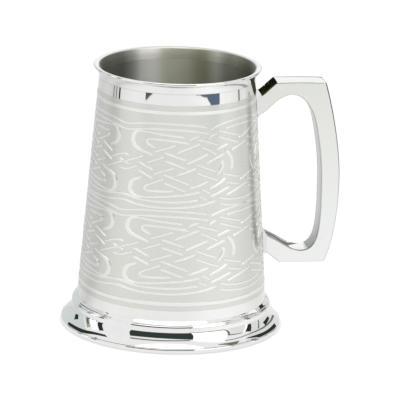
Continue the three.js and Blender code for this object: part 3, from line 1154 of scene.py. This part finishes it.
def build_camera():
    """Camera on the photograph's view line, turned a little about it."""
    across = toward(90)
    away = -toward(0)
    elevation = math.radians(CAMERA_ELEVATION)
    base = Vector((AXIS.x, AXIS.y, AIM_HEIGHT))
    place = base - away * CAMERA_DISTANCE * math.cos(elevation)
    place.z += CAMERA_DISTANCE * math.sin(elevation)
    aim = base + across * AIM_RIGHT
    forward = (aim - place).normalized()
    right = forward.cross(Vector((0, 0, 1))).normalized()
    up = right.cross(forward)
    roll = math.radians(CAMERA_ROLL)
    right, up = (
        right * math.cos(roll) + up * math.sin(roll),
        up * math.cos(roll) - right * math.sin(roll),
    )
    data = bpy.data.cameras.new("camera")
    data.lens = CAMERA_LENS
    data.sensor_width = CAMERA_SENSOR
    data.clip_start = 0.05
    data.clip_end = 50.0
    camera = bpy.data.objects.new("camera", data)
    axes = Matrix((right, up, -forward)).transposed().to_4x4()
    camera.matrix_world = Matrix.Translation(place) @ axes
    bpy.context.scene.collection.objects.link(camera)
    bpy.context.scene.camera = camera


# ---- the scene ---------------------------------------------------------------------------

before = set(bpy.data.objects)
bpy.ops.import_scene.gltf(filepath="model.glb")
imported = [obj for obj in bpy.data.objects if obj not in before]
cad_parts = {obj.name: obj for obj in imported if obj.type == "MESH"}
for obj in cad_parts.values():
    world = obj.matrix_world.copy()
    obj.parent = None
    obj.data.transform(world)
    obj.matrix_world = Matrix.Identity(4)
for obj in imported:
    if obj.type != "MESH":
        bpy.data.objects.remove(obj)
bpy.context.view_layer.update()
rim_low, rim_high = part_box("lip_ring")
AXIS = (rim_low + rim_high) / 2

satin = metal("satin_pewter", PEWTER, 0.22, 0.28, 0.05, 900.0)
polished_sheet = metal("polished_sheet", PEWTER_BRIGHT, 0.008, 0.02, 0.0, 200.0)
raised = metal("raised_pewter", PEWTER_LINE, 0.20, 0.28, 0.0, 300.0)
polished = metal("polished_pewter", PEWTER_BRIGHT, 0.008, 0.025, 0.0, 200.0)
cast = metal("cast_pewter", (0.79, 0.80, 0.78), 0.20, 0.28, 0.05, 500.0)
edge_polish = metal("handle_edge_pewter", (0.82, 0.82, 0.805), 0.06, 0.12, 0.0, 300.0)
grip_painted_shade = metal("grip_painted_shade", (0.68, 0.68, 0.65), 0.12, 0.18, 0.0, 300.0)
edge_soft = metal("handle_bevel_pewter", (0.72, 0.73, 0.71), 0.10, 0.16, 0.0, 300.0)
# Painted reflection: the handle's bevel facing away from the cup darkens to near black towards the
# top.
bevel_painted_reflection = metal("handle_bevel_painted_reflection", (0.62, 0.63, 0.60), 0.10, 0.16, 0.0, 300.0)
height_tone(bevel_painted_reflection, 0.055, 0.108, (0.60, 0.61, 0.60), (0.07, 0.07, 0.08))
# Painted shade: the handle's crook, facing the wall and up, is nearly black, with its reflection
# dimmed.
crook_painted_shade = metal("crook_pewter_painted_shade", (0.10, 0.105, 0.08), 0.2, 0.3, 0.0, 260.0, tint=0.9)
crook_shader = crook_painted_shade.node_tree.nodes["Principled BSDF"]
crook_shader.inputs["Specular Tint"].default_value = (0.2, 0.2, 0.16, 1)
# Painted reflection: the slope inside the finger gap is near black.
slope_painted_reflection = metal("slope_pewter_painted_reflection", (0.19, 0.20, 0.195), 0.10, 0.16, 0.0, 300.0)
# Painted shade in the finger gap: the grip metal is darker than the rest of the handle and darkens
# further towards the bottom of the gap.
height_tone(grip_painted_shade, 0.036, 0.056, (0.36, 0.36, 0.33), (0.60, 0.60, 0.57))
# The handle's cast metal is made a little lighter towards the bottom than towards the top.
height_tone(cast, 0.060, 0.115, (0.76, 0.77, 0.76), (0.705, 0.715, 0.675))
# Both brushed metals lay a painted reflection on their colour: a tone that changes round the cup.
brushed_lip = metal("brushed_lip_pewter", (0.74, 0.735, 0.68), 0.40, 0.48, 0.12, 600.0, (1, 1, 8))
brush_round(brushed_lip, 0.85)
paint_reflection_round(brushed_lip, INSIDE_PAINTED_REFLECTION)
brushed = metal("brushed_pewter", (0.98, 0.975, 0.93), 0.40, 0.48, 0.12, 600.0, (1, 1, 8))
brush_round(brushed, 0.85)
paint_reflection_round(brushed, INSIDE_PAINTED_REFLECTION)
solder = metal("solder", SOLDER, 0.16, 0.24, 0.05, 500.0)

build_wall()
build_interlace()
build_frame_lines()
build_turned()
build_handle()
# The floor disc takes the brushed metal and so its painted reflection tone.
for node, material in (
    ("floor_disc", brushed),
    ("side_seam", solder),
    ("floor_solder_ring", solder),
    ("upper_handle_solder", solder),
    ("lower_handle_solder", solder),
):
    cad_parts[node].data.materials.clear()
    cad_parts[node].data.materials.append(material)

build_floor()
build_light()
build_camera()
bpy.context.scene.view_settings.view_transform = "Standard"
